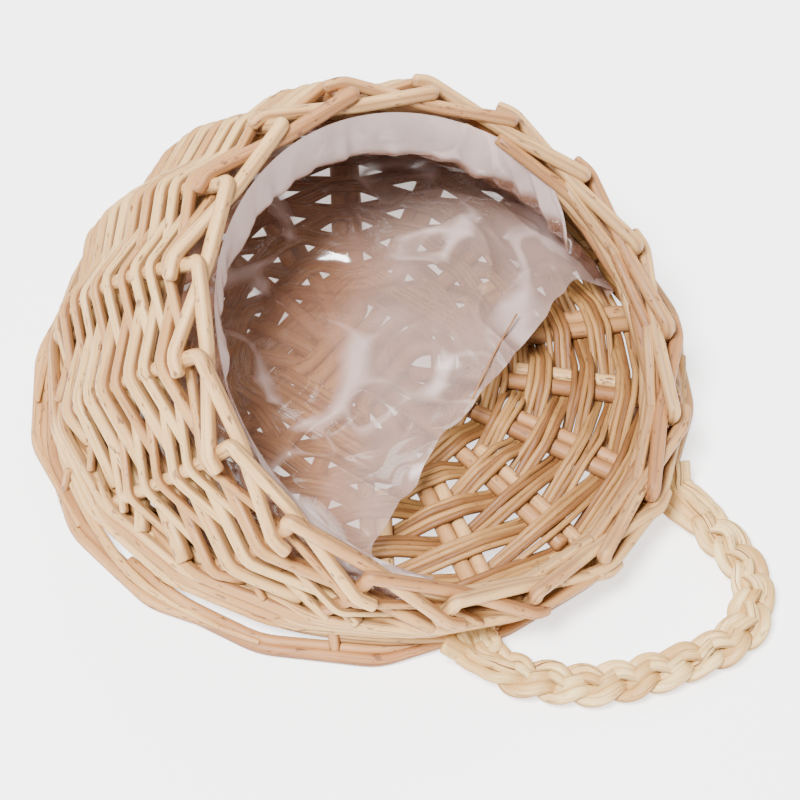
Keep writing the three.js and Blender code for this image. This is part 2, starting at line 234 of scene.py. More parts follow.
def smoothMesh(name, points, faces, material):
    # Points are in millimetres from the basket's middle.
    mesh = bpy.data.meshes.new(name)
    mesh.from_pydata(points * mm + middle, [], faces.tolist())
    mesh.polygons.foreach_set("use_smooth", np.ones(len(faces), bool))
    mesh.materials.append(material)
    print(name, 2 * len(faces), "triangles")
    return placed(name, mesh)


def setShare(mesh, name, values):
    attribute = mesh.attributes.new(name, "FLOAT", "POINT")
    attribute.data.foreach_set("value", values.astype(np.float32).ravel())


def rodsMesh(name, rods, material, body, replaced):
    verts, spaces, shades, faces, tones = [], [], [], [], []
    start = 0
    for r in rods:
        v, space, shade, n = rodVertices(r)
        faces.append(rodFaces(n, r["sides"], r["closed"], start))
        verts.append(v)
        spaces.append(space)
        shades.append(shade)
        tones.append(np.full(len(v), r["tone"]))
        start += len(v)
    obj = smoothMesh(name, np.vstack(verts), np.vstack(faces), material)
    space = obj.data.attributes.new("rodSpace", "FLOAT_VECTOR", "POINT")
    space.data.foreach_set("vector", (np.vstack(spaces) * mm).astype(np.float32).ravel())
    setShare(obj.data, "rodTone", np.concatenate(tones))
    setShare(obj.data, "rodShade", np.concatenate(shades))
    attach(obj, body)
    if replaced:
        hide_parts(*replaced)


def nodeGroup(name, inputs, outputs):
    group = bpy.data.node_groups.new(name, "ShaderNodeTree")
    for label, kind, value in inputs:
        socket = group.interface.new_socket(label, in_out="INPUT", socket_type=kind)
        socket.default_value = value
    for label, kind in outputs:
        group.interface.new_socket(label, in_out="OUTPUT", socket_type=kind)
    return group, group.nodes.new("NodeGroupInput"), group.nodes.new("NodeGroupOutput")


def addNode(tree, kind, settings=None, **inputs):
    node = tree.nodes.new(kind)
    for key, value in (settings or {}).items():
        setattr(node, key, value)
    for key, value in inputs.items():
        socket = node.inputs[int(key[1:])] if key[0] == "i" and key[1:].isdigit() else node.inputs[key]
        if isinstance(value, bpy.types.NodeSocket):
            tree.links.new(value, socket)
        else:
            socket.default_value = value
    return node


def attribute(tree, name, output="Fac"):
    return addNode(tree, "ShaderNodeAttribute", {"attribute_name": name}).outputs[output]


def newMaterial(name):
    material = bpy.data.materials.new(name)
    material.use_nodes = True
    return material, material.node_tree, material.node_tree.nodes["Principled BSDF"]


def ramp(tree, fac, stops):
    node = tree.nodes.new("ShaderNodeValToRGB")
    tree.links.new(fac, node.inputs["Fac"])
    elements = node.color_ramp.elements
    while len(elements) < len(stops):
        elements.new(0.5)
    for element, (place, value) in zip(elements, stops):
        element.position = place
        element.color = (value, value, value, 1)
    return node.outputs[0]


def mixColor(tree, factor, a, b):
    return addNode(tree, "ShaderNodeMix", {"data_type": "RGBA"}, i0=factor, i6=a, i7=b).outputs[2]


def maths(tree, operation, *values, clamp=False):
    node = addNode(tree, "ShaderNodeMath", {"operation": operation, "use_clamp": clamp},
                   **{f"i{k}": value for k, value in enumerate(values)})
    return node.outputs[0]


def stretched(tree, vector, *scale):
    return addNode(tree, "ShaderNodeMapping", Vector=vector, Scale=scale).outputs[0]


def noise(tree, vector, detail, roughness=0.5, scale=1.0):
    return addNode(tree, "ShaderNodeTexNoise", Vector=vector, Scale=scale, Detail=detail,
                   Roughness=roughness).outputs[0]


# Features per metre across and along a rod, and where each mask starts and is full.
skinScales = {"streak": (1000, 1000, 45), "line": (1500, 1500, 34), "patch": (130, 130, 42),
              "fleck": (620, 620, 210)}
skinMasks = {"streak": (0.42, 0.68), "line": (0.63, 0.68), "patch": (0.36, 0.78), "fleck": (0.60, 0.67)}


def skinMask(tree, field, name):
    low, high = skinMasks[name]
    return ramp(tree, field, [(low, 0.0), (high, 1.0)])


def makeWillowGroup():
    # Willow skin: tone per rod, long streaks, brown flecks and fine dark lines along it, and painted shade
    # where rods meet and on their inner faces.
    group, gin, gout = nodeGroup("willowSkin", [
        ("Space", "NodeSocketVector", (0, 0, 0)),
        ("Tone", "NodeSocketFloat", 0.5),
        ("Shade", "NodeSocketFloat", 0.0),
        ("Grime", "NodeSocketFloat", 0.5),
        ("Pale", "NodeSocketColor", (0.8, 0.7, 0.5, 1)),
        ("Deep", "NodeSocketColor", (0.6, 0.4, 0.25, 1)),
        ("Mark", "NodeSocketColor", (0.25, 0.13, 0.07, 1)),
        ("Flecks", "NodeSocketFloat", 0.5),
        ("Streaks", "NodeSocketFloat", 0.5),
        ("Lines", "NodeSocketFloat", 0.5),
    ], [("Color", "NodeSocketColor"), ("Roughness", "NodeSocketFloat"), ("Height", "NodeSocketFloat")])
    space, tone = gin.outputs["Space"], gin.outputs["Tone"]
    streak = noise(group, stretched(group, space, *skinScales["streak"]), 3.0, 0.6)
    hair = noise(group, stretched(group, space, *skinScales["line"]), 2.0)
    patch = noise(group, stretched(group, space, *skinScales["patch"]), 3.0, 0.55)
    fleckField = noise(group, stretched(group, space, *skinScales["fleck"]), 2.5, 0.7)
    toneShift = maths(group, "MULTIPLY_ADD", tone, 0.76, -0.38)
    deepness = skinMask(group, maths(group, "ADD", patch, toneShift), "patch")
    colour = mixColor(group, deepness, gin.outputs["Pale"], gin.outputs["Deep"])
    # The last pass paints shade in the mark colour where rodShade is high.
    for mask, amount, stain in (
            (skinMask(group, streak, "streak"), "Streaks", "Deep"),
            (skinMask(group, fleckField, "fleck"), "Flecks", "Mark"),
            (skinMask(group, hair, "line"), "Lines", "Mark"),
            (maths(group, "POWER", gin.outputs["Shade"], 1.5), "Grime", "Mark")):
        factor = maths(group, "MULTIPLY", mask, gin.outputs[amount])
        colour = mixColor(group, factor, colour, gin.outputs[stain])
    group.links.new(colour, gout.inputs["Color"])
    rough = addNode(group, "ShaderNodeMapRange", i0=hair, i1=0.3, i2=0.7, i3=0.42, i4=0.68).outputs[0]
    group.links.new(rough, gout.inputs["Roughness"])
    group.links.new(maths(group, "ADD", streak, hair), gout.inputs["Height"])
    return group


willowGroup = makeWillowGroup()


def willowMaterial(name, s):
    material, tree, shader = newMaterial(name)
    skin = addNode(tree, "ShaderNodeGroup", {"node_tree": willowGroup},
                   Space=attribute(tree, "rodSpace", "Vector"), Tone=attribute(tree, "rodTone"),
                   Shade=attribute(tree, "rodShade"), Grime=s["grime"],
                   Pale=(*s["pale"], 1), Deep=(*s["deep"], 1), Mark=(*s["mark"], 1),
                   Flecks=s["flecks"], Streaks=s["streaks"], Lines=s["lines"])
    bump = addNode(tree, "ShaderNodeBump", Height=skin.outputs["Height"], Strength=s["bump"],
                   Distance=0.0002)
    tree.links.new(skin.outputs["Color"], shader.inputs["Base Color"])
    tree.links.new(skin.outputs["Roughness"], shader.inputs["Roughness"])
    tree.links.new(bump.outputs[0], shader.inputs["Normal"])
    shader.inputs["Specular IOR Level"].default_value = 0.42
    return material


# The last amount in each finish sets how dark the painted shade is where rods meet.
willow = {
    "paleWillow": {"pale": (0.66, 0.42, 0.165), "deep": (0.44, 0.215, 0.07), "mark": (0.11, 0.035, 0.01),
                   "flecks": 0.8, "streaks": 0.5, "lines": 0.5, "grime": 0.85, "bump": 0.7},
    "pinkWillow": {"pale": (0.67, 0.405, 0.165), "deep": (0.42, 0.19, 0.068), "mark": (0.09, 0.028, 0.009),
                   "flecks": 0.75, "streaks": 0.5, "lines": 0.45, "grime": 0.6, "bump": 0.65},
    "goldWillow": {"pale": (0.40, 0.205, 0.065), "deep": (0.20, 0.08, 0.022), "mark": (0.06, 0.018, 0.006),
                   "flecks": 0.6, "streaks": 0.6, "lines": 0.6, "grime": 0.6, "bump": 0.6},
    "footWillow": {"pale": (0.56, 0.30, 0.115), "deep": (0.34, 0.145, 0.048), "mark": (0.09, 0.028, 0.009),
                   "flecks": 0.75, "streaks": 0.55, "lines": 0.5, "grime": 0.7, "bump": 0.65},
    "stickWillow": {"pale": (0.44, 0.215, 0.078), "deep": (0.28, 0.115, 0.038), "mark": (0.06, 0.018, 0.006),
                    "flecks": 0.6, "streaks": 0.5, "lines": 0.4, "grime": 0.5, "bump": 0.5},
    "waleWillow": {"pale": (0.67, 0.415, 0.165), "deep": (0.45, 0.22, 0.072), "mark": (0.11, 0.035, 0.01),
                   "flecks": 0.7, "streaks": 0.5, "lines": 0.5, "grime": 0.72, "bump": 0.65},
    "braidStraw": {"pale": (0.86, 0.635, 0.29), "deep": (0.52, 0.29, 0.09), "mark": (0.16, 0.06, 0.018),
                   "flecks": 0.5, "streaks": 0.8, "lines": 1.0, "grime": 0.6, "bump": 1.0},
}
finishes = {name: willowMaterial(name, s) for name, s in willow.items()}
print("materials made")


# Driving sizes, in millimetres and degrees.
wall = {
    "stakes": 18, "stakeStart": 86.0,
    "footRadius": 88.8, "footHeight": 6.2,
    "rimCentre": (-10.0, -41.0, 64.0), "rimAcross": 69.0, "rimUp": 72.0, "rimTilt": 32.6,
    "fullFoot": 0.12, "fullRim": 0.64, "footLean": 2.0, "rimLean": 50.0,
    "leanFrom": 20, "leanOver": 90,  # wall heights between which the lean at the rim grows
}


stakeStep = 2 * math.pi / wall["stakes"]


def outward(angle):
    angle = np.asarray(angle, float)
    return np.stack([np.cos(angle), np.sin(angle), 0 * angle], -1)


def wallControls(angle):
    # Four points of the cubic upright at each angle: foot, a point above it, a point below the rim, rim.
    angle = np.atleast_1d(np.asarray(angle, float))
    foot = outward(angle) * wall["footRadius"] + np.array([0, 0, wall["footHeight"]])
    tilt = math.radians(wall["rimTilt"])
    rim = np.array(wall["rimCentre"]) + np.stack([
        wall["rimAcross"] * np.cos(angle),
        wall["rimUp"] * np.sin(angle) * math.cos(tilt),
        wall["rimUp"] * np.sin(angle) * math.sin(tilt)], -1)
    height = np.linalg.norm(rim - foot, axis=-1)[:, None]
    inward = unit((rim - foot) * np.array([1, 1, 0]))
    lean = math.radians(wall["rimLean"]) * np.clip((height - wall["leanFrom"]) / wall["leanOver"], 0, 1)
    footLean = math.radians(wall["footLean"])
    leave = up * math.cos(footLean) + outward(angle) * math.sin(footLean)
    arrive = up * np.cos(lean) + inward * np.sin(lean)
    aboveFoot = foot + leave * height * wall["fullFoot"]
    belowRim = rim - arrive * height * wall["fullRim"]
    return np.stack([foot, aboveFoot, belowRim, rim], 1)


def cubic(p, t):
    # Bezier cubic: the four points weighed by the terms of ((1 - t) + t) cubed.
    t = t[..., None]
    near = (1 - t)**3 * p[:, 0] + 3 * (1 - t)**2 * t * p[:, 1]
    far = 3 * (1 - t) * t**2 * p[:, 2] + t**3 * p[:, 3]
    return near + far


def climbTable(angle, steps=48):
    p = wallControls(angle)
    t = np.linspace(0, 1, steps + 1)
    points = np.stack([cubic(p, np.full(len(p), x)) for x in t], 1)
    lengths = np.linalg.norm(np.diff(points, axis=1), axis=-1)
    return p, points, np.concatenate([np.zeros((len(p), 1)), np.cumsum(lengths, 1)], 1)


def wallLength(angle):
    return climbTable(angle)[2][:, -1]


def climbTo(angle, height):
    # How far up the wall each angle reaches a given height.
    _, points, climbs = climbTable(angle)
    return np.array([np.interp(height, z, c) for z, c in zip(points[..., 2], climbs)])


def wallAt(angle, climb, out=0.0):
    # A spot on the wall: climb up from the foot, then out along the surface's outward normal.
    angle = np.atleast_1d(np.asarray(angle, float))
    climb = np.broadcast_to(np.asarray(climb, float), angle.shape)
    p, points, climbs = climbTable(angle)
    steps = climbs.shape[1] - 1
    index = np.clip((climbs < climb[:, None]).sum(1) - 1, 0, steps - 1)
    row = np.arange(len(angle))
    low, high = climbs[row, index], climbs[row, index + 1]
    t = (index + np.clip((climb - low) / (high - low), 0, 1)) / steps
    here = cubic(p, t)
    rising = unit(cubic(p, np.minimum(t + 0.01, 1.01)) - cubic(p, t - 0.01))
    along = cubic(wallControls(angle + 0.01), t) - cubic(wallControls(angle - 0.01), t)
    normal = unit(np.cross(along, rising))
    out = np.broadcast_to(np.asarray(out, float), angle.shape)
    return here + normal * out[:, None], normal, rising


def stakeAngle(index):
    return np.radians(wall["stakeStart"] + 360.0 / wall["stakes"] * np.asarray(index, float))


def stickAngle(index):
    # A base stick lies beside its stake.
    return stakeAngle(index) - stakeSettings["stickTurn"]


def wobble(shape, size):
    return rng.normal(0, size, shape)


hood = {
    "pitch": 4.35,          # distance between neighbouring rows
    "rodHalf": 2.22,
    "press": 0.75,          # how much the rods bite into each other
    "stakeHalf": 1.85,
    "borderDepth": 10.6,
    "waleTop": 20.0,
    "cornerReach": 2.4,
    "rowRoom": 0.4,         # a row goes where the wall is this much higher than its level
    "shortest": 40,         # a row needs this many of the 361 fine places
    "sideGap": 0.12,        # from a row's end to the nearest stake, in stakes
    "endOut": 0.6, "thinEnd": 0.62, "flatness": 0.94,
    "turnWobble": 0.25, "climbWobble": 0.28, "outWobble": 0.15, "sizes": (0.86, 1.14),
}


def makeHoodWeave(s):
    stakes = np.arange(-9, 10)
    angles = stakeAngle(stakes)
    lengths = wallLength(angles)
    starts = climbTo(angles, s["waleTop"])
    fineStakes = np.linspace(-9, 9, 361)
    fineAngles = stakeAngle(fineStakes)
    fineRoom = wallLength(fineAngles) - climbTo(fineAngles, s["waleTop"])
    rods = []
    rows = int((lengths.max() - s["borderDepth"] - starts.min()) / s["pitch"])
    offset = s["stakeHalf"] + s["rodHalf"] - s["press"]
    for row in range(rows):
        level = s["borderDepth"] + s["pitch"] * (row + 0.5)
        roomy = fineStakes[fineRoom > level + s["rowRoom"]]
        if len(roomy) < s["shortest"]:
            continue
        low, high = roomy.min(), roomy.max()
        inside = stakes[(stakes > low + s["sideGap"]) & (stakes < high - s["sideGap"])]
        spots = np.concatenate([[low], inside, [high]])
        side = np.where((inside + row) % 2 == 0, 1.0, -1.0)
        out = np.concatenate([[-side[0] * s["endOut"]], side, [-side[-1] * s["endOut"]]]) * offset
        a = stakeAngle(spots) + np.radians(wobble(len(spots), s["turnWobble"]))
        climb = wallLength(a) - level + wobble(len(a), s["climbWobble"])
        points, normals, _ = wallAt(a, climb, out + wobble(len(a), s["outWobble"]))
        line = bentLine(np.hstack([points, normals]), s["cornerReach"])
        size = s["rodHalf"] * rng.uniform(*s["sizes"])
        ends = (s["thinEnd"], 1.0) if row % 2 else (1.0, s["thinEnd"])
        rods.append(rod(line[:, :3], unit(line[:, 3:]), size, size * s["flatness"], taper=ends))
    return rods


stakeSettings = {
    "half": 2.08,
    "spread": 4.6,          # distance between a base stick and the stake beside it
    "stickTurn": math.asin(4.6 / 88.8),
    "floorEdge": 6.0, "crown": 4.0, "floorRadius": 84.0,
    "cornerReach": 2.6,
    "tipLevel": 8.8,        # how far below the rim a laid stake ends
    "floorRun": (46.0, 58, 70, 79),  # radii along the floor
    "turnUp": (86.0, 5.0),  # radius and height of the corner where it leaves the floor
    "climbFrom": 2.4, "belowRim": 4.5, "climbPitch": 12,
    "sizes": (0.93, 1.08),
}


def floorHeight(radius):
    s = stakeSettings
    return s["floorEdge"] + s["crown"] * (1 - (np.asarray(radius, float) / s["floorRadius"])**2)


def onFloor(angle, radius, lift=0.0):
    p = outward(angle) * np.asarray(radius, float)[..., None]
    p[..., 2] = floorHeight(radius) + lift
    return p


def makeStakes(s):
    # Each stake lies beside its base stick, climbs the wall, is bent over sharply at the rim, passes
    # inside the next stake just under its bend, and ends outside the one after that, further down.
    rods = []
    for i in range(wall["stakes"]):
        angle = stakeAngle(i)
        stick = stickAngle(i)
        beside = outward(stick + math.pi / 2) * s["spread"]
        turnRadius, turnHeight = s["turnUp"]
        floorRun = onFloor(np.full(4, stick), np.array(s["floorRun"])) + beside
        turnUp = onFloor(np.array([stick]), np.array([turnRadius])) + beside
        turnUp[:, 2] = turnHeight
        length = wallLength(angle)[0]
        climbs = np.linspace(s["climbFrom"], length - s["belowRim"], max(3, int(length / s["climbPitch"])))
        run, normal, _ = wallAt(np.full(len(climbs), angle), climbs, wobble(len(climbs), 0.12))
        facing = np.vstack([np.tile(up, (5, 1)), normal])
        facing[:5] = unit(up + outward(stick) * 0.04)
        rise = throughPoints(np.hstack([np.vstack([floorRun, turnUp, run]), facing]), 6)
        tip = min(s["tipLevel"], 0.38 * length)
        # along in stakes, level below the rim, out from the wall
        laid = np.array([[0.0, 1.0, 0.3], [0.95, 0.3 * tip, -3.4],
                         [1.98, tip - 0.3, 3.5], [2.16, tip + 0.2, 3.2]])
        a = angle + laid[:, 0] * stakeStep + wobble(4, 0.006)
        over, overNormal, _ = wallAt(a, wallLength(a) - laid[:, 1] + wobble(4, 0.25), laid[:, 2])
        corners = np.vstack([rise[-1:], np.hstack([over, overNormal])])
        bend = bentLine(corners, s["cornerReach"], straight=5, bend=6)
        line = np.vstack([rise, bend[1:]])
        share = np.linspace(0, 1, len(line))
        size = np.interp(share, [0, 0.6, 1], [1.08, 1.0, 0.92]) * s["half"] * rng.uniform(*s["sizes"])
        rods.append(rod(line[:, :3], unit(line[:, 3:]), size, sides=12))
    return rods


waleSettings = {"first": 10.5, "pitch": 3.75, "rows": 3, "half": 1.88, "press": 0.8, "stakeHalf": 1.85,
                "slope": 1.2, "cornerReach": 5.5, "highest": 18.0, "borderRoom": 7.0,
                "frontShare": 1.04, "turnWobble": 0.5, "climbWobble": 0.2, "sizes": (0.9, 1.08),
                "widthShare": 1.14, "thickShare": 0.88}


def makeWale(s):
    # Each rod passes two stakes in front and one behind, and sinks under the next rod as it goes.
    rods = []
    count = wall["stakes"]
    offset = s["stakeHalf"] + s["half"] - s["press"]
    i = np.arange(count)
    for row in range(s["rows"]):
        for strand in range(3):
            turn = (i + strand + row) % 3
            out = np.where(turn == 2, -offset, offset * s["frontShare"])
            lift = np.choose(turn, [s["slope"], -s["slope"], 0.0])
            a = stakeAngle(i) + np.radians(wobble(count, s["turnWobble"]))
            height = s["first"] + s["pitch"] * row
            room = wallLength(a) - s["borderRoom"]
            climb = np.minimum(climbTo(a, height), room * height / s["highest"])
            points, normals, _ = wallAt(a, climb + lift + wobble(count, s["climbWobble"]))
            flat = unit(normals * np.array([1, 1, 0]))
            points = points + flat * out[:, None]
            line = bentLine(np.hstack([points, flat]), s["cornerReach"], closed=True, straight=4, bend=5)
            size = s["half"] * rng.uniform(*s["sizes"])
            rods.append(rod(line[:, :3], unit(line[:, 3:]), size * s["widthShare"], size * s["thickShare"],
                            closed=True))
    return rods


baseSettings = {"stickHalf": 2.45, "stickPitch": 5.6, "firstRound": 34.0, "roundPitch": 6.35, "rounds": 9,
                "thinHalf": 1.05, "rodsInBundle": 4, "bundleStep": 1.66, "cornerReach": 1.6,
                "bindingFrom": 17.5, "bindingTo": 30.2, "bindingRods": 7, "bindingTurn": 38.0,
              "stickReach": (84, 55, 31), "crossReach": 13, "stickGap": 0.25, "stickLump": 0.07,
              "pairedFrom": 43,  # the stakes lie beside the sticks from this radius outwards
              "flatHalf": 2.1, "radiusWobble": 0.28, "heightWobble": 0.12}


def makeBaseSticks(s):
    rods = []
    for count, start, layer in ((5, -4, 1), (4, 0.5, -1)):
        centre = stickAngle(start)
        for place in range(count):
            offset = place - (count - 1) / 2
            spread = stakeStep * offset
            forward, sideways = outward(centre), outward(centre + math.pi / 2) * offset * s["stickPitch"]
            lift = layer * (s["stickHalf"] + s["stickGap"])
            crossing = [forward * x + sideways + up * (floorHeight(0) + lift)
                        for x in (s["crossReach"], 0, -s["crossReach"])]
            outer = [onFloor(centre + spread, r) for r in s["stickReach"]]
            back = [onFloor(centre + math.pi - spread, r) for r in reversed(s["stickReach"])]
            line = throughPoints(np.vstack([outer, crossing, back]), 8)
            size = s["stickHalf"] * rng.uniform(0.94, 1.04)
            rods.append(rod(line, up, size, sides=12, lump=s["stickLump"]))
    return rods


def makeBaseWeave(s):
    rods = []
    i = np.arange(wall["stakes"])
    for turn in range(s["rounds"]):
        radius = s["firstRound"] + s["roundPitch"] * turn
        paired = radius > s["pairedFrom"]
        spread = stakeSettings["spread"]
        halfFlat = (s["flatHalf"] + (spread / 2 if paired else 0)) / radius
        centre = spread / 2 / radius if paired else 0.0
        side = np.where((i + turn) % 2, -1.0, 1.0)
        for k in range(s["rodsInBundle"]):
            r = radius + (k - (s["rodsInBundle"] - 1) / 2) * s["bundleStep"]
            size = s["thinHalf"] * rng.uniform(0.85, 1.1)
            lift = side * (s["stickHalf"] + size * 0.8)
            middles = stickAngle(i) + centre
            edges = np.stack([middles - halfFlat, middles + halfFlat], 1).ravel()
            lifts = np.repeat(lift, 2) * 0.97
            radii = r + wobble(len(edges), s["radiusWobble"])
            p = onFloor(edges, radii) + up * (lifts + wobble(len(edges), s["heightWobble"]))[:, None]
            line = bentLine(p, s["cornerReach"], closed=True, straight=2, bend=3)
            rods.append(rod(line, up, size, sides=8, closed=True))
    return rods


def makeBaseBinding(s):
    # Thin rings over the upper sticks and under the lower ones, close round the crossing.
    rods = []
    first = stickAngle(-4)
    half = math.radians(s["bindingTurn"])
    quarters = np.repeat(np.arange(4), 2)
    angles = first + quarters * math.pi / 2 + np.tile([-half, half], 4)
    side = np.where(quarters % 2, -1.0, 1.0)
    for radius in np.linspace(s["bindingFrom"], s["bindingTo"], s["bindingRods"]):
        lift = side * np.interp(radius, [17, 31], [6.05, 3.5])
        p = onFloor(angles, np.full(8, radius / math.cos(half)) + wobble(8, 0.25)) + up * lift[:, None]
        line = bentLine(p, 5.0, closed=True, straight=4, bend=5)
        rods.append(rod(line, up, s["thinHalf"] * rng.uniform(0.95, 1.12), sides=8, closed=True))
    return rods


footSettings = {"outer": 97.3, "inner": 92.6, "half": 1.95, "every": 2, "pegHalf": 1.4, "legHalf": 1.75,
                "shares": (0.0, 0.6, 1.4, 2.4, 3.4, 4.4, 5.4),  # corners along a long rod, in stakes
                "heights": (5.2, 4.6, 3.0, 2.3, 2.0, 2.4, 4.4),
                "pegEvery": 3, "pegFoot": 1.6, "pegTop": 12.0, "pegLean": 1.2,
                "legShares": (-0.3, 0.2, 1.0, 1.7, 2.5), "legRadii": (88.0, 90.8, 92.4, 94.8, 95.6),
                "legHeights": (8.6, 7.9, 6.2, 4.2, 4.4)}


def makeFoot(s):
    # Each long rod starts inside, passes to the outside of the ring and ends there under the next one.
    rods = []
    for i in range(0, wall["stakes"], s["every"]):
        share = np.array(s["shares"])
        radius = np.array([s["inner"] - 1.0, s["inner"] + 0.6, s["outer"] - 3.2, s["outer"] - 2.6,
                           s["outer"] - 0.3, s["outer"], s["outer"] - 1.6])
        height = np.array(s["heights"])
        a = stakeAngle(i + 0.5) + share * stakeStep
        p = outward(a) * (radius + wobble(7, 0.4))[:, None] + up * (height + wobble(7, 0.1))[:, None]
        line = bentLine(p, 5.0, straight=4, bend=5)
        place = np.linspace(0, 1, len(line))
        size = np.interp(place, [0, 0.1, 0.85, 1], [0.75, 1, 0.95, 0.45]) * s["half"]
        rods.append(rod(line, up, size * rng.uniform(0.92, 1.04)))
    for i in range(0, wall["stakes"], s["pegEvery"]):
        a = stakeAngle(i + 0.5 + rng.uniform(-0.2, 0.2))
        lean = outward(a + math.pi / 2) * rng.uniform(-s["pegLean"], s["pegLean"])
        foot = outward(a) * (s["inner"] + 2.1) + up * s["pegFoot"]
        top = outward(a) * (s["inner"] - 1.0) + up * s["pegTop"] + lean
        size = s["pegHalf"] * rng.uniform(0.9, 1.15)
        rods.append(rod(np.linspace(foot, top, 5), outward(a), size, sides=8))
    return rods


def makeFootLegs(s):
    # The stakes' lower ends slant down and outwards from the wall and run along the foot ring.
    rods = []
    for i in range(0, wall["stakes"], s["pegEvery"]):
        share = np.array(s["legShares"])
        radius = np.array(s["legRadii"]) + wobble(5, 0.3)
        height = np.array(s["legHeights"]) + wobble(5, 0.25)
        a = stakeAngle(i + rng.uniform(-0.1, 0.1)) + share * stakeStep
        line = throughPoints(outward(a) * radius[:, None] + up * height[:, None], 6)
        size = np.interp(np.linspace(0, 1, len(line)), [0, 0.7, 1], [1, 0.95, 0.5]) * s["legHalf"]
        rods.append(rod(line, up, size * rng.uniform(0.88, 1.08)))
    return rods


# The braid's middle line: sideways and reach from the basket's middle, along the loop's own direction.
loopSettings = {
    "direction": -98.3, "height": 6.2, "turns": 4.0, "halfWidth": 3.0, "halfDepth": 1.9,
    "strandWide": 3.2, "strandThick": 1.6, "fibres": 2, "rootShare": 0.075, "rootHalfWidth": 4.6,
    "dropFrom": 94, "dropOver": 22, "drop": 1.6,  # the reach where the braid sinks, and how far
    "steps": 260, "lean": 0.55,
    "route": [(37.5, 92.8), (38, 101), (37.5, 115), (32.5, 129), (20, 137.5), (4, 135), (-12, 128.5),
              (-24.5, 120.5), (-35, 108), (-39, 96.5), (-38.5, 92.8)],
}


def loopAxes(s):
    return outward(math.radians(s["direction"])), outward(math.radians(s["direction"] + 90))


def stripFibres(centre, facing, wide, thick, count):
    # A flat strip made of narrow fibres side by side, which cross their neighbours a little.
    side = unit(np.cross(unit(np.gradient(centre, axis=0)), facing))
    along = np.linspace(0, len(centre) / 9, len(centre))
    fibres = []
    tone = rng.uniform(0.15, 0.75)
    for k in range(count):
        place = (2 * k + 1) / count - 1
        drift = lineNoise(along, rng.uniform(0, 99)) - 0.5
        sideways = (place * 0.95 + drift * 0.35) * wide
        fall = -thick * 0.45 * place * place + wobble(1, 0.08)
        spot = centre + side * sideways[:, None] + facing * fall
        size = wide / count * rng.uniform(1.12, 1.3)
        fibreTone = tone + rng.uniform(-0.12, 0.12)
        fibres.append(rod(spot, facing, size, thick * 0.85, sides=12, tone=fibreTone, lump=0.14))
    return fibres


def makeLoop(s):
    out, side = loopAxes(s)
    route = np.array(s["route"])
    fall = np.clip((route[:, 1] - s["dropFrom"]) / s["dropOver"], 0, 1)
    drop = fall * fall * (3 - 2 * fall) * s["drop"]
    points = out * route[:, 1:2] + side * route[:, :1] + up * (s["height"] - drop)[:, None]
    fine = throughPoints(points, 24)
    reach = np.concatenate([[0], np.cumsum(np.linalg.norm(np.diff(fine, axis=0), axis=1))])
    share = np.linspace(0, 1, s["steps"])
    line = np.stack([np.interp(share * reach[-1], reach, fine[:, k]) for k in range(3)], -1)
    across = unit(np.cross(unit(np.gradient(line, axis=0)), up))
    braided = np.clip((share - s["rootShare"]) / (1 - 2 * s["rootShare"]), 0, 1)
    openness = np.clip(1 - np.minimum(share, 1 - share) / s["rootShare"], 0, 1)
    rods = []
    for strand in range(3):
        phase = 2 * math.pi * (s["turns"] * braided + strand / 3)
        width = s["halfWidth"] + (s["rootHalfWidth"] - s["halfWidth"]) * openness
        depth = s["halfDepth"] * (1 - openness)
        sway = across * (width * np.sin(phase))[:, None]
        centre = line + sway + up * (depth * np.sin(2 * phase))[:, None]
        lean = across * (s["lean"] * np.cos(phase) * (1 - openness))[:, None]
        rods += stripFibres(centre, unit(up + lean), s["strandWide"], s["strandThick"], s["fibres"])
    return rods


def makeTucks(s):
    # Three flat ends at each root spread out, and go up between the wall's foot and the wale.
    rods = []
    out, side = loopAxes(s)
    for root in (s["route"][0], s["route"][-1]):
        for place in (-1, 0, 1):
            reach = np.array([root[1] + 0.6, root[1] - 0.8, root[1] - 2.4, root[1] - 4.2])
            spread = root[0] + place * np.array([s["rootHalfWidth"] * 0.86, 4.3, 5.6, 7.0])
            height = s["height"] + np.array([0.0, 0.5, 2.0, 4.2]) + abs(place) * 0.2
            points = out * reach[:, None] + side * spread[:, None] + up * height[:, None]
            line = throughPoints(points, 5)
            facing = np.tile(up * 0.8 + out * 0.6, (len(line), 1))
            rods += stripFibres(line, facing, s["strandWide"], s["strandThick"] * 0.75, s["fibres"])
    return rods


innerSettings = {"first": 7, "last": 14, "layers": 3, "half": 1.95, "cornerReach": 3.0, "turn": 0.4,
                 "shares": (-0.9, 0.0, 1.0, 2.05), "levels": (10.5, 8.0, 4.8, 2.6), "deeper": 3.8,
                 "outs": (-4.2, -4.4, -5.4, -6.0), "fullLength": 34}


def makeInnerRods(s):
    # Second rods of the low stakes, laid along the inside of the rim with their cut ends showing.
    rods = []
    for i in range(s["first"], s["last"]):
        for deep in range(s["layers"]):
            share = np.array(s["shares"])
            a = stakeAngle(i + s["turn"] * deep) + share * stakeStep + wobble(4, 0.015)
            level = np.array(s["levels"]) + deep * s["deeper"] + wobble(4, 0.5)
            out = np.array(s["outs"]) - deep * 0.4 + wobble(4, 0.4)
            level *= np.clip(wallLength(a) / s["fullLength"], 0.6, 1)
            points, normals, _ = wallAt(a, wallLength(a) - level, out)
            line = bentLine(np.hstack([points, normals]), s["cornerReach"], straight=4, bend=4)
            size = s["half"] * rng.uniform(0.82, 1.06)
            rods.append(rod(line[:, :3], unit(line[:, 3:]), size, size * 0.92))
    return rods


# Loose fibres: corners in millimetres from the basket's middle, and the half thickness.
fibreSettings = [
    ([(33, -32, 27.5), (16, -36.5, 27), (-1, -42, 26)], 0.28),
    ([(-84, -10, 47), (-79, -24, 43), (-73, -36, 39)], 0.2),
]


def makeFibres(s):
    return [rod(throughPoints(corners, 8), up, half, sides=6) for corners, half in s]


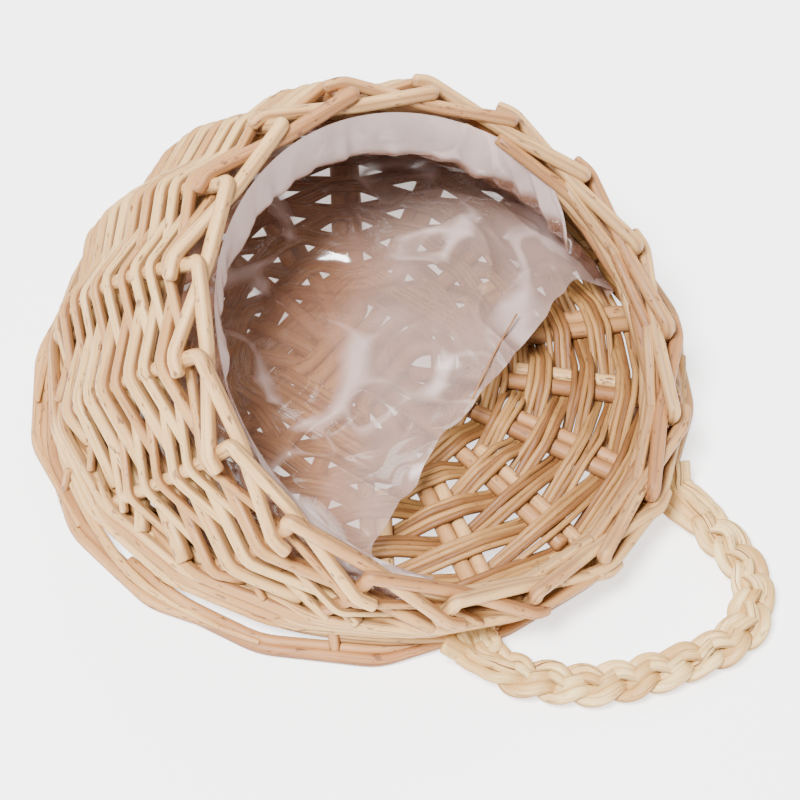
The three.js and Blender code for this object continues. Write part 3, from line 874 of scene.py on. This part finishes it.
# The film hangs inside the hood from the rim border, turns over the floor's edge and lies to a free edge.
filmSettings = {
    "inset": 6.6, "rimFrom": 12.0, "footFrom": -25.0, "angleTo": 221.0, "belowRim": 1.5,
    "edgeFrom": (58.0, -34.0), "edgeTo": (-55.0, -50.5), "edgeHeight": 20.0,
    "columns": 300, "wallRows": 130, "floorRows": 150,
    "foldLevel": 12.5, "crumple": 3.0, "soft": 5.4, "edgeWave": 3.4, "pleat": 3.0,
    "cuffDrop": 16.0,       # the film hangs straight down this far before it turns out to the wall,
    "cuffShare": 0.3,       # or for this share of a lower wall,
    "settle": 34.0,         # and meets the wall's curve after this much more
    "cloudDirection": -48.4, "cloudFrom": -14.0, "cloudWander": 22.0, "cloudSpread": 20.0,
    "foldRounds": 14, "warpLength": 26, "creaseLength": 36, "swellLength": 38,
}


def ridges(p, seed, octaves=4, fall=0.5):
    # Folded noise: 1 where the noise crosses its middle and 0 away from it, in ever finer layers.
    total = np.zeros(p.shape[:-1])
    weight = 1.0
    for octave in range(octaves):
        n = valueNoise(p * 2**octave, seed + octave)
        total += weight * (1 - np.abs(2 * n - 1))**3
        weight *= fall
    return total


def makeFilm(s):
    # Returns the grid, and at each point the strength of the painted highlight along the creases, the cuff's
    # share and the cloudiness.
    share = np.linspace(0, 1, s["columns"])
    sides, normals, depths = [], [], []
    for r in np.linspace(0, 1, s["wallRows"]):
        start = s["rimFrom"] + (s["footFrom"] - s["rimFrom"]) * r
        angle = np.radians(start + (s["angleTo"] - start) * share)
        length = wallLength(angle)
        climb = length - s["belowRim"] + (s["foldLevel"] - length + s["belowRim"]) * r
        fall = length - climb - s["belowRim"]
        p, n, _ = wallAt(angle, climb, -s["inset"])
        drop = np.minimum(s["cuffDrop"], s["cuffShare"] * length)
        top, _, _ = wallAt(angle, length - s["belowRim"], -s["inset"])
        turned, _, _ = wallAt(angle, length - s["belowRim"] - drop, -s["inset"])
        pleats = lineNoise(angle * 9, 0, r * 6) + 0.6 * lineNoise(angle * 23, 0, r * 9 + 40) - 0.8
        pleated = outward(angle) * (pleats * s["pleat"])[:, None]
        hanging = top - up * fall[:, None] + pleated * np.clip(fall / drop, 0, 1)[:, None]
        away = top - up * drop[:, None] - turned + pleated
        t = np.clip((fall - drop) / s["settle"], 0, 1)
        fade = 1 - t * t * (3 - 2 * t)
        sides.append(np.where((fall < drop)[:, None], hanging, p + away * fade[:, None]))
        normals.append(-n)
        depths.append(fall / drop)
    sides, normals, depths = np.array(sides), np.array(normals), np.array(depths)
    edge = np.array([*s["edgeFrom"], s["edgeHeight"]]) * (1 - share[:, None]) \
        + np.array([*s["edgeTo"], s["edgeHeight"]]) * share[:, None]
    wave = lineNoise(share * 6, 0, 3.7) + 0.5 * lineNoise(share * 19, 0, 8.1) - 0.75
    edge[:, 1] += wave * s["edgeWave"]
    across = np.linspace(0, 1, s["floorRows"] + 1)[1:, None, None]
    floor = sides[-1] * (1 - across) + edge * across
    floorNormals = np.tile(up, (s["floorRows"], s["columns"], 1))
    grid = np.concatenate([sides, floor])
    normal = np.concatenate([normals, floorNormals])
    depth = np.vstack([depths, np.full((s["floorRows"], s["columns"]), 9.0)])
    for _ in range(s["foldRounds"]):
        # Averaging each row with its neighbours rounds the fold.
        grid[1:-1] = 0.25 * grid[:-2] + 0.5 * grid[1:-1] + 0.25 * grid[2:]
        normal[1:-1] = 0.25 * normal[:-2] + 0.5 * normal[1:-1] + 0.25 * normal[2:]
    normal = unit(normal)
    warp = np.stack([valueNoise(grid / s["warpLength"], seed) for seed in (5, 6, 7)], -1)
    creases = ridges(grid / s["creaseLength"] + warp * 1.2, 11, octaves=3, fall=0.4)
    swell = valueNoise(grid / s["swellLength"] + warp, 21)
    v = np.linspace(0, 1, len(grid))[:, None]
    onFloorShare = np.clip((v * len(grid) - s["wallRows"] * 0.8) / (s["floorRows"] * 0.5), 0, 1)
    hold = np.clip(v * 9, 0, 1)
    # Upright pleats close to the loose side edge.
    pleats = np.sin(share[None] * 190 + 3 * warp[..., 0]) * np.clip(1 - share[None] / 0.16, 0, 1) * 1.5
    sharp = creases * s["crumple"] * (0.45 + 0.55 * onFloorShare)
    lift = sharp + swell * s["soft"] * (0.35 + onFloorShare)
    grid = grid + normal * ((lift + pleats * (1 - onFloorShare)) * hold - 0.6)[..., None]
    # Fine crease lines, used only for the painted highlights along the creases.
    fineCreaseHighlights = ridges(grid / s["warpLength"] + warp * 1.6, 31, octaves=2) * 0.66
    # The film is doubled, and so cloudier, on one side of a line across the floor.
    beyond = grid @ outward(math.radians(s["cloudDirection"])) - s["cloudFrom"]
    wander = s["cloudWander"] * (swell - 0.5)
    cloudy = np.clip((beyond + wander) / s["cloudSpread"], 0, 1) * onFloorShare
    cuff = np.clip((1.08 - depth) / 0.22, 0, 1)
    return grid, np.clip(fineCreaseHighlights, 0, 1), cuff, cloudy


def gridFaces(grid):
    # Rows by columns of points become quads, facing the grid's upper side.
    rows, columns = grid.shape[:2]
    i, j = np.meshgrid(np.arange(rows - 1), np.arange(columns - 1), indexing="ij")
    here = i * columns + j
    return np.stack([here, here + 1, here + columns + 1, here + columns], -1).reshape(-1, 4)


# The clear tint is painted shade of the shaded inside; the cuffed colour and the crease amount also paint
# highlights along the creases.
filmLook = {"clearShadeTint": (0.37, 0.185, 0.12), "cloudy": (0.375, 0.255, 0.22), "cuffAndHighlight": (0.60, 0.47, 0.45),
            "wallLow": 0.34, "wallHigh": 0.52, "floorLow": 0.46, "floorHigh": 0.68,
            "cuff": 0.24, "creaseHighlight": 0.5, "rough": 0.13, "specular": 1.0}


def makeFilmMaterial(s):
    # Clear against the wall, cloudy in patches over the floor, whiter along its cuff, and with painted
    # highlights along its creases; the clear film's dark brown tint is painted shade of the inside behind
    # it.
    material, tree, shader = newMaterial("milkyFilm")
    place = addNode(tree, "ShaderNodeTexCoord").outputs["Object"]
    cloudShare = attribute(tree, "cloudShare")
    cuff = attribute(tree, "cuffShare")
    creaseHighlight = attribute(tree, "creaseHighlightShare")
    cloud = noise(tree, place, 5.0, 0.62, 34.0)
    onWall = ramp(tree, cloud, [(0.40, s["wallLow"]), (0.62, s["wallHigh"])])
    onFloor = ramp(tree, cloud, [(0.40, s["floorLow"]), (0.60, s["floorHigh"])])
    veil = mixColor(tree, cloudShare, onWall, onFloor)
    edge = addNode(tree, "ShaderNodeLayerWeight", Blend=0.28).outputs["Facing"]
    # Crease lines are whitened and made more opaque as painted highlight.
    creaseHighlightLine = ramp(tree, creaseHighlight, [(0.60, 0.0), (0.90, s["creaseHighlight"])])
    # The clear tint is dark brown: painted shade of the shaded inside seen through the film.
    tint = mixColor(tree, cloudShare, (*s["clearShadeTint"], 1), (*s["cloudy"], 1))
    tinted = mixColor(tree, maths(tree, "MAXIMUM", cuff, creaseHighlightLine), tint, (*s["cuffAndHighlight"], 1))
    tree.links.new(tinted, shader.inputs["Base Color"])
    edged = maths(tree, "MULTIPLY_ADD", edge, 0.42, veil)
    creaseHighlighted = maths(tree, "ADD", edged, creaseHighlightLine)
    alpha = maths(tree, "MULTIPLY_ADD", cuff, s["cuff"], creaseHighlighted, clamp=True)
    tree.links.new(alpha, shader.inputs["Alpha"])
    fold = addNode(tree, "ShaderNodeTexNoise", {"noise_type": "RIDGED_MULTIFRACTAL"}, Vector=place,
                   Scale=48.0, Detail=3.0, Distortion=0.6).outputs[0]
    bump = addNode(tree, "ShaderNodeBump", Height=fold, Strength=0.6, Distance=0.0014)
    tree.links.new(bump.outputs[0], shader.inputs["Normal"])
    shader.inputs["Roughness"].default_value = s["rough"]
    shader.inputs["Specular IOR Level"].default_value = s["specular"]
    return material


filmGrid, filmCreaseHighlights, filmCuff, filmCloud = makeFilm(filmSettings)
filmMaterial = makeFilmMaterial(filmLook)
film = smoothMesh("liner_sheet", filmGrid.reshape(-1, 3), gridFaces(filmGrid), filmMaterial)
setShare(film.data, "creaseHighlightShare", filmCreaseHighlights)
setShare(film.data, "cuffShare", filmCuff)
setShare(film.data, "cloudShare", filmCloud)
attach(film, "basket")
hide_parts("liner_film")

makers = [
    ("hood_rods", makeHoodWeave(hood), "paleWillow", "basket", "pale_willow", nodeNames("hood_weave", 8)),
    ("stake_rods", makeStakes(stakeSettings), "pinkWillow", "basket", "pink_willow",
     nodeNames("side_stake", 18)),
    ("wale_rods", makeWale(waleSettings), "waleWillow", "basket", "pale_willow", nodeNames("wale_row", 3)),
    ("base_sticks", makeBaseSticks(baseSettings), "stickWillow", "basket", "pink_willow",
     nodeNames("base_stick_upper", 5) + nodeNames("base_stick_lower", 4)),
    ("base_rods", makeBaseWeave(baseSettings) + makeBaseBinding(baseSettings), "goldWillow", "basket",
     "gold_willow", nodeNames("base_weave", 8) + ["base_binding"]),
    ("foot_rods", makeFoot(footSettings), "footWillow", "basket", "pink_willow",
     ["foot_rod_outer", "foot_rod_inner"]),
    ("foot_legs", makeFootLegs(footSettings), "waleWillow", "basket", "pale_willow", []),
    ("rim_inner_rods", makeInnerRods(innerSettings), "pinkWillow", "basket", "pink_willow", []),
    ("loose_fibres", makeFibres(fibreSettings), "stickWillow", "basket", "pink_willow", []),
    ("loop_strands", makeLoop(loopSettings), "braidStraw", "loop", "braid_straw",
     nodeNames("loop_strand", 3)),
    ("loop_ends", makeTucks(loopSettings), "braidStraw", "basket", "braid_straw",
     ["loop_tuck_right", "loop_tuck_left"]),
]
for name, rods, finish, body, slot, replaced in makers:
    rodsMesh(name, rods, finishes[finish], body, replaced)


def makeFloor():
    mesh = bpy.data.meshes.new("floor")
    mesh.from_pydata([(-3, -3, 0), (3, -3, 0), (3, 3, 0), (-3, 3, 0)], [], [(0, 1, 2, 3)])
    material, _, shader = newMaterial("floorPaint")
    shader.inputs["Base Color"].default_value = (0.93, 0.93, 0.93, 1)
    shader.inputs["Roughness"].default_value = 0.6
    shader.inputs["Emission Color"].default_value = (1, 1, 1, 1)
    shader.inputs["Emission Strength"].default_value = 1.6
    mesh.materials.append(material)
    floor = placed("floor", mesh)


def makeLight(name, place, size, energy):
    data = bpy.data.lights.new(name, "AREA")
    data.shape = "SQUARE"
    data.size = size
    data.energy = energy
    light = placed(name, data)
    back = Vector(place) - Vector(middle)
    turn = back.to_track_quat("Z", "Y").to_matrix().to_4x4()
    light.matrix_world = Matrix.Translation(Vector(place)) @ turn


makeFloor()
makeLight("keyLight", (-0.7, -0.15, 1.45), 0.45, 84)
makeLight("fillLight", (0.9, 0.5, 1.3), 1.0, 20)
world = bpy.data.worlds.new("studio")
world.use_nodes = True
world.node_tree.nodes["Background"].inputs["Color"].default_value = (1, 1, 1, 1)
world.node_tree.nodes["Background"].inputs["Strength"].default_value = 0.42
bpy.context.scene.world = world
print("room made")
